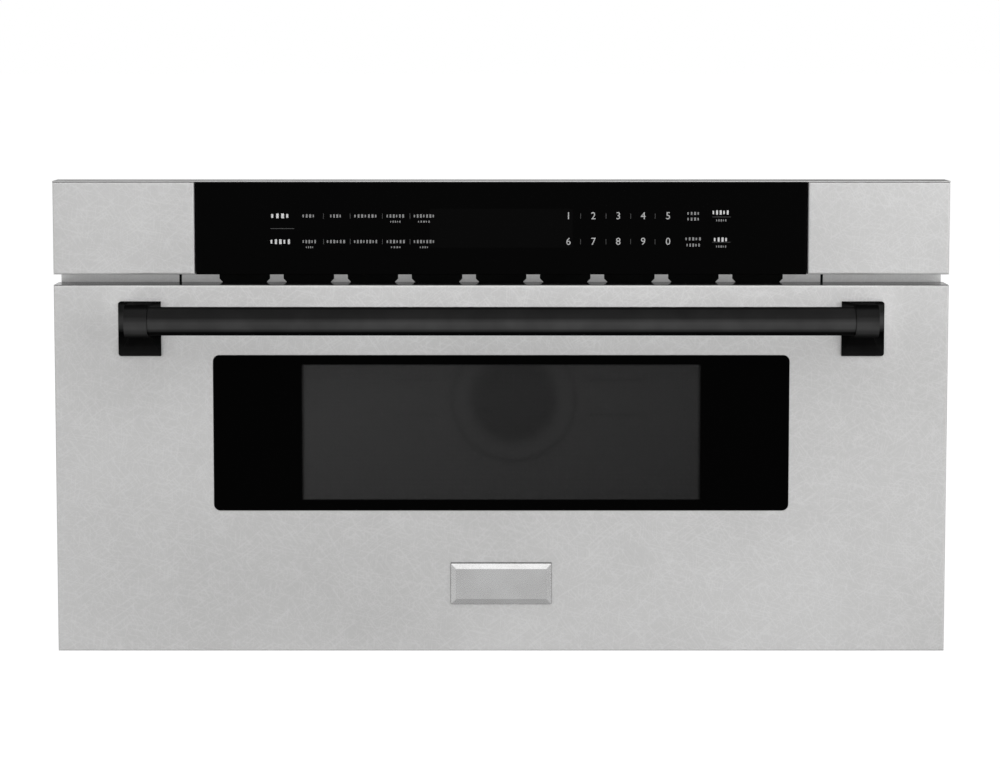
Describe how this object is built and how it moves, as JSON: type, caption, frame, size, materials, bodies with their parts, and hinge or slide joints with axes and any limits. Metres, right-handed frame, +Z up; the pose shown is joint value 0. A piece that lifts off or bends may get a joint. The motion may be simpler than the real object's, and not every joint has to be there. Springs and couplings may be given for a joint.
{
  "type": "microwave drawer",
  "caption": "Built-in microwave oven as a drawer: stainless front with dark window and black bar handle under a glass control band.",
  "frame": {"origin": "underside of the base pan, at the cabinet's face, on the centre line", "axes": "+X to the right seen from the front, +Y back into the cabinet, +Z up"},
  "size_m": [0.76, 0.6574, 0.4033],
  "materials": {
    "stainless": "brushed stainless steel",
    "polished_stainless": "bright drawn stainless",
    "galvanised": "galvanised steel sheet",
    "cavity_enamel": "pale baked enamel",
    "black_cast": "matt black powder coat on cast zinc",
    "black_tube": "matt black powder coat on steel tube",
    "dark_glass": "dark tempered glass",
    "touch_glass": "black printed touch glass",
    "clear_glass": "clear tempered glass",
    "black_plastic": "black moulded plastic",
    "pale_plastic": "natural moulded plastic",
    "white_ceramic": "mica board, satin",
    "black_steel": "black lacquered steel",
    "copper_winding": "lacquered copper wire",
    "laminations": "varnished steel laminations",
    "aluminium": "plain aluminium",
    "circuit_board": "lacquered circuit board",
    "gear_steel": "plain machined steel",
    "gear_plastic": "white acetal",
    "ptfe": "white plastic",
    "switch_red": "red plastic"
  },
  "bodies": {
    "chassis": {"front_frame": "stainless", "base_pan": "galvanised", "side_panel_right": "galvanised", "side_panel_left": "galvanised", "cabinet_top": "galvanised", "rear_panel": "galvanised", "cord_gland": "black_plastic", "exhaust_grille": "stainless", "exhaust_duct": "black_steel", "cavity_shell": "cavity_enamel", "cavity_stand": "galvanised", "waveguide": "galvanised", "waveguide_cover": "white_ceramic", "stirrer_motor": "galvanised", "magnetron_yoke": "galvanised", "magnetron_tube": "aluminium", "oven_lamp": "galvanised", "fan_shroud": "galvanised", "fan_motor": "black_steel", "air_guide": "black_plastic", "transformer_core": "laminations", "transformer_windings": "copper_winding", "capacitor": "aluminium", "noise_filter": "circuit_board", "cheek_right": "stainless", "cheek_left": "stainless", "top_trim": "stainless", "control_glass": "touch_glass", "control_housing": "black_plastic", "control_board": "circuit_board", "slide_outer_members": "polished_stainless", "slide_brackets": "galvanised", "drive_motor": "black_steel", "motor_bracket": "galvanised", "interlock_switches": "black_plastic"},
    "drawer": {"drawer_skin": "stainless", "window_glass": "dark_glass", "window_holder": "black_plastic", "inner_frame": "cavity_enamel", "choke_cover": "pale_plastic", "inner_window": "clear_glass", "door_screen": "black_steel", "badge_plate": "polished_stainless", "handle_bracket_right": "black_cast", "handle_bracket_left": "black_cast", "handle_bar": "black_tube", "tub": "cavity_enamel", "glass_tray": "clear_glass", "slide_inner_members": "polished_stainless", "drawer_arms": "galvanised", "drive_rack": "gear_plastic", "latch_hooks": "black_plastic"},
    "slide_middles": {"slide_middle_members": "polished_stainless"},
    "outer_cages": {"outer_ball_cages": "gear_steel"},
    "inner_cages": {"inner_ball_cages": "gear_steel"},
    "pinion": {"drive_pinion": "gear_plastic", "pinion_shaft": "gear_steel"},
    "fan": {"fan_wheel": "black_plastic"},
    "stirrer": {"stirrer": "aluminium"},
    "plungers": {"switch_plungers": "switch_red"}
  },
  "joints": [
    {"name": "drawer_slide", "type": "slide", "parent": "chassis", "child": "drawer", "axis": [0, -1, 0], "range_m": [0, 0.381]},
    {"name": "middle_slide", "type": "slide", "parent": "chassis", "child": "slide_middles", "axis": [0, -1, 0], "range_m": [0, 0.1905]},
    {"name": "outer_cage_slide", "type": "slide", "parent": "chassis", "child": "outer_cages", "axis": [0, -1, 0], "range_m": [0, 0.09525]},
    {"name": "inner_cage_slide", "type": "slide", "parent": "chassis", "child": "inner_cages", "axis": [0, -1, 0], "range_m": [0, 0.28575]},
    {"name": "pinion_spin", "type": "hinge", "parent": "chassis", "child": "pinion", "pos_m": [0.1525, 0.035, 0.043], "axis": [1, 0, 0], "range_deg": [0, 1039.51]},
    {"name": "fan_spin", "type": "hinge", "parent": "chassis", "child": "fan", "pos_m": [0.17, 0.5465, 0.2], "axis": [0, 1, 0], "continuous": true},
    {"name": "stirrer_spin", "type": "hinge", "parent": "chassis", "child": "stirrer", "pos_m": [0, 0.2, 0.307], "axis": [0, 0, 1], "continuous": true},
    {"name": "plunger_press", "type": "slide", "parent": "chassis", "child": "plungers", "axis": [0, 1, 0], "range_m": [0, 0.0008]}
  ],
  "couplings": [
    {"joint": "middle_slide", "follows": "drawer_slide", "ratio": 0.5},
    {"joint": "outer_cage_slide", "follows": "drawer_slide", "ratio": 0.25},
    {"joint": "inner_cage_slide", "follows": "drawer_slide", "ratio": 0.75},
    {"joint": "pinion_spin", "follows": "drawer_slide", "rad_per_m": 47.619}
  ]
}
